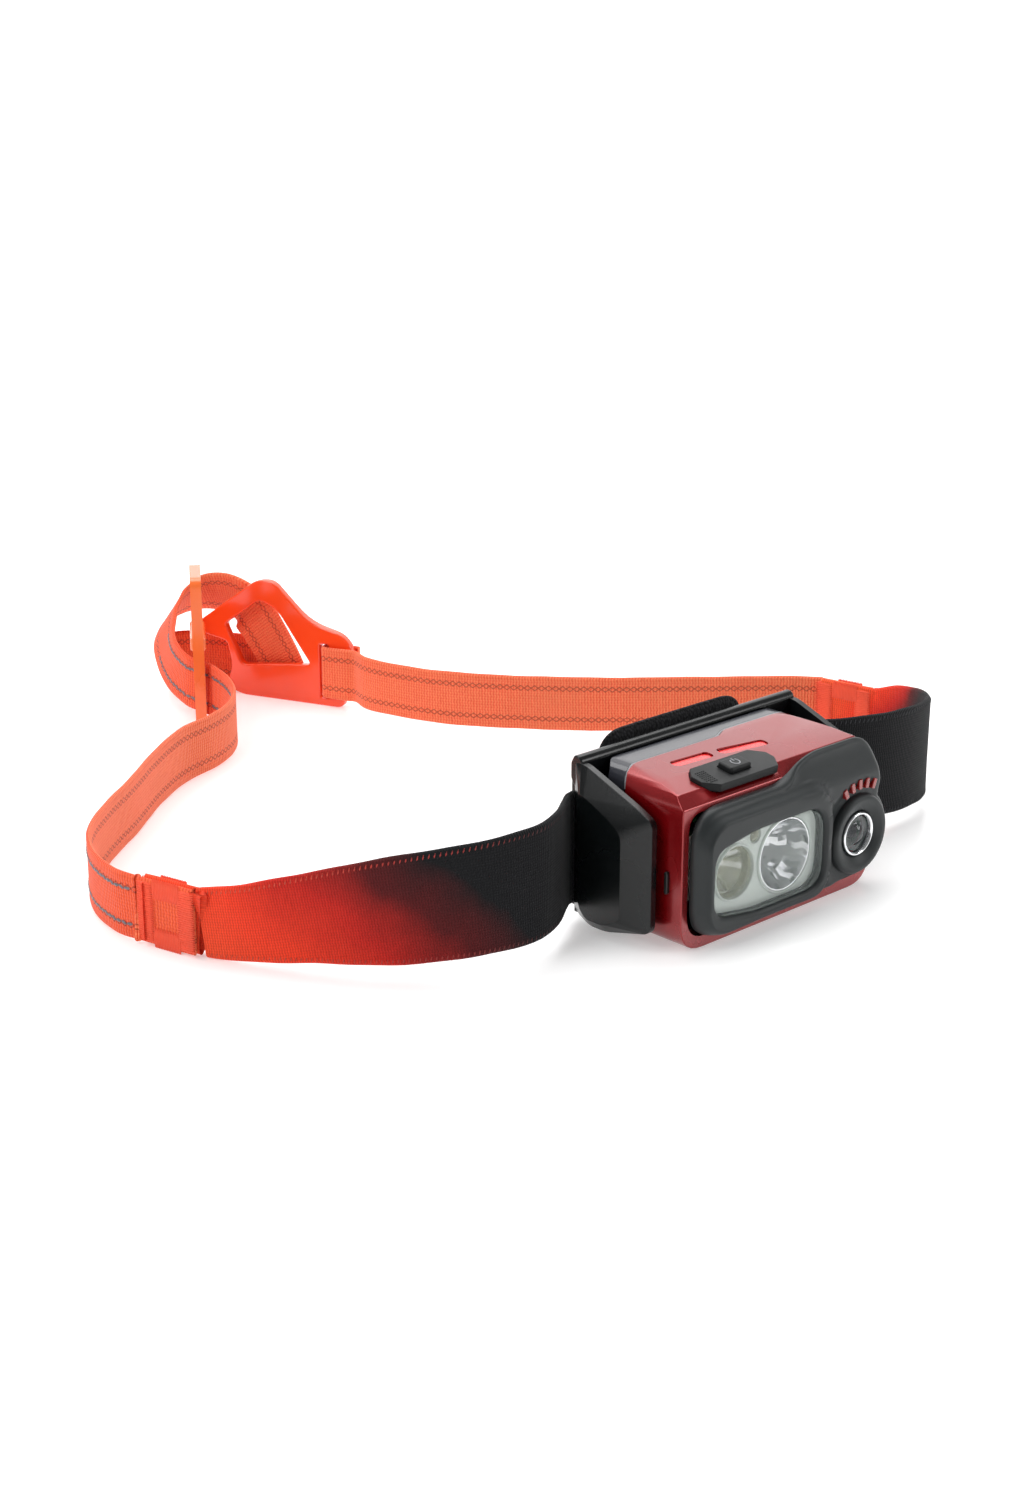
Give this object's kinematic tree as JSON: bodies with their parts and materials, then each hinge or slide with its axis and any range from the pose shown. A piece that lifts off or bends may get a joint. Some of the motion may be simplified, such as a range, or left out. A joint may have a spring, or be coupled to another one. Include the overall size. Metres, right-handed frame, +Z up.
{
  "type": "headlamp",
  "caption": "Compact rechargeable headlamp: red shell, dark bezel over a spot and flood lens, tilting bracket, and an elastic headband with a rear slider and yoke.",
  "frame": {"origin": "centre of the lamp's flat underside, on the surface that the headlamp rests on", "axes": "-Y is where the lamp shines, +X is to the right of someone facing the lamp, +Z is up, and the headband's loop runs to +Y"},
  "size_m": [0.2094, 0.2414, 0.0419],
  "materials": {
    "red_shell": "satin translucent red",
    "black_plastic": "satin",
    "grey_soft_touch": "soft-touch matte",
    "black_rubber": "matte",
    "clear_lens": "polished clear",
    "smoked_lens": "polished smoked",
    "pale_plastic": "satin",
    "chrome_plating": "mirror",
    "led_phosphor": "gloss",
    "white_board": "satin",
    "green_board": "satin",
    "bare_aluminium": "brushed",
    "steel": "bright",
    "gold_contact": "polished",
    "red_light_pipe": "translucent gloss",
    "battery_grey": "gloss dark grey",
    "pale_bead": "satin",
    "cell_foil": "satin foil",
    "band_fabric": "woven, orange to black",
    "pad_fabric": "knitted",
    "orange_webbing": "ribbed elastic webbing",
    "orange_thread": "satin stitch",
    "orange_plastic": "gloss translucent"
  },
  "bodies": {
    "band": {"bracket": "black_plastic", "hinge_pins": "steel", "front_band": "band_fabric", "forehead_pad": "pad_fabric", "left_joint_stitching": "orange_thread", "right_joint_stitching": "orange_thread", "left_strap": "orange_webbing", "strap_loop": "orange_webbing", "strap_tail": "orange_webbing", "right_strap": "orange_webbing", "slider": "orange_plastic", "rear_yoke": "orange_plastic"},
    "lamp": {"housing": "red_shell", "chassis": "black_plastic", "bezel": "grey_soft_touch", "bezel_gasket": "black_rubber", "lens": "clear_lens", "lens_seal": "black_rubber", "optic_carrier": "pale_plastic", "main_reflector": "chrome_plating", "main_led": "led_phosphor", "flood_optic": "clear_lens", "flood_led": "led_phosphor", "red_led": "clear_lens", "led_board": "white_board", "heat_sink": "bare_aluminium", "circuit_board": "green_board", "tact_switch": "black_plastic", "sensor_ring": "chrome_plating", "sensor_lens": "smoked_lens", "light_sensor": "black_plastic", "sensor_board": "green_board", "gauge_bars": "red_light_pipe", "chassis_screws": "steel", "contact_pins": "gold_contact", "usb_port": "steel", "button_pad": "black_rubber"},
    "button": {"power_button": "black_rubber"},
    "cover": {"port_cover": "black_rubber"},
    "battery": {"battery_case": "battery_grey", "battery_cap": "battery_grey", "battery_bead": "pale_bead", "battery_cell": "cell_foil", "battery_board": "green_board", "battery_contacts": "gold_contact"}
  },
  "joints": [
    {"name": "lamp_tilt", "type": "hinge", "parent": "band", "child": "lamp", "pos_m": [0, 0.0065, 0.0042], "axis": [1, 0, 0], "range_deg": [0, 60]},
    {"name": "button_press", "type": "slide", "parent": "lamp", "child": "button", "axis": [0, 0.1736, -0.9848], "range_m": [0, 0.0008], "stiffness_N_per_m": 1500},
    {"name": "cover_open", "type": "hinge", "parent": "lamp", "child": "cover", "pos_m": [0.0306, -0.0118, 0.0106], "axis": [0, 1, 0], "range_deg": [0, 100]},
    {"name": "battery_slide", "type": "slide", "parent": "lamp", "child": "battery", "axis": [0, 0, 1], "range_m": [0, 0.034]}
  ]
}
